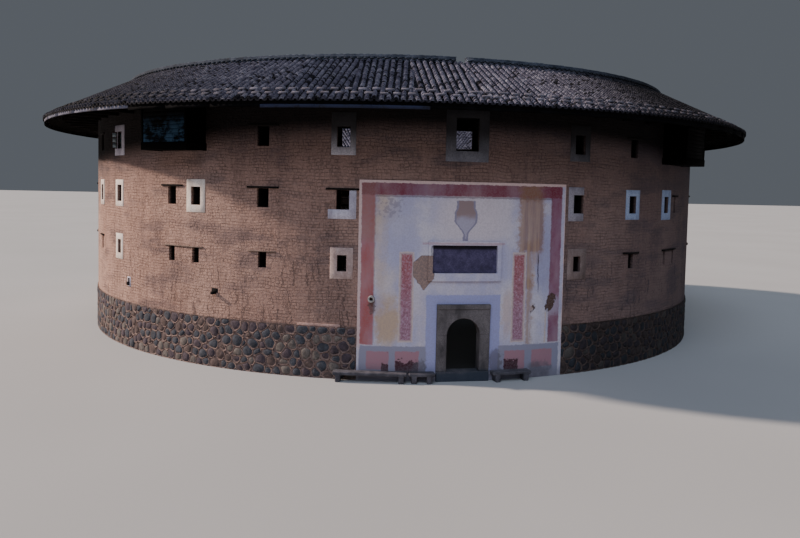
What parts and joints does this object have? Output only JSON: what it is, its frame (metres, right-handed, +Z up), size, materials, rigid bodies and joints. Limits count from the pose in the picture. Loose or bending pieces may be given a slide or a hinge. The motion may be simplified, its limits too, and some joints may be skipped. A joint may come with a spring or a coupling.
{
  "type": "round earth clan house, scale model at 1:2",
  "caption": "Ring-shaped rammed-earth house around an open courtyard: battered wall on a cobble plinth, tiled ring roof, timber galleries, stone gate in a plaster panel",
  "frame": {"origin": "on the ground at the centre of the ring, the middle of the bounding box's bottom", "axes": "+Z up, the gate faces -Y, +X to the right for someone facing the gate from outside"},
  "size_m": [21.75, 21.75, 7.245],
  "materials": {
    "earth": "rammed earth, matt, in lifts, with fine upright cracks and rain streaks",
    "cobble": "river cobbles in raised pale lime mortar",
    "granite": "dressed grey stone, matt, worn edges",
    "plaster": "lime plaster, matt, stained, with faded red bands",
    "tablet": "weathered bluish lime wash, bare of any writing",
    "timber": "old unpainted fir, dark and dry",
    "tile": "dark grey fired clay tiles, matt, dusty",
    "boards": "boards with a worn bluish-grey lime wash",
    "painted_wood": "thin dark red-brown painted wood, faded"
  },
  "bodies": {
    "root": {"plinth_front_left": "cobble", "plinth_front_right": "cobble", "plinth_back_right": "cobble", "plinth_back_left": "cobble", "wall_gate_left": "earth", "wall_gate_right": "earth", "wall_over_gate": "earth", "wall_front_right": "earth", "wall_right_front": "earth", "wall_right_lower": "earth", "wall_right_upper": "earth", "wall_right_rear": "earth", "wall_back_right": "earth", "wall_back_lower": "earth", "wall_back_upper": "earth", "wall_back_left": "earth", "wall_left_front": "earth", "wall_left_lower": "earth", "wall_left_upper": "earth", "wall_left_rear": "earth", "wall_front_left": "earth", "gate_threshold": "granite", "gate_jamb_left": "granite", "gate_jamb_right": "granite", "gate_arch": "granite", "gate_lintel": "granite", "plaster_panel": "plaster", "name_tablet": "tablet", "gun_port_pipe": "granite", "bench_left_long": "granite", "bench_left_short": "granite", "bench_right": "granite", "floor_2": "timber", "floor_3": "timber", "floor_4": "timber", "gallery_posts_right": "timber", "gallery_posts_left": "timber", "roof_frame_right": "timber", "roof_frame_left": "timber", "roof_outer_right": "tile", "roof_outer_left": "tile", "roof_inner_right": "tile", "roof_inner_left": "tile", "ridge": "tile", "lookout_front_left": "boards", "lookout_front_right": "boards", "lookout_back_right": "boards", "lookout_back_left": "boards", "open_casement": "painted_wood"}
  },
  "joints": []
}
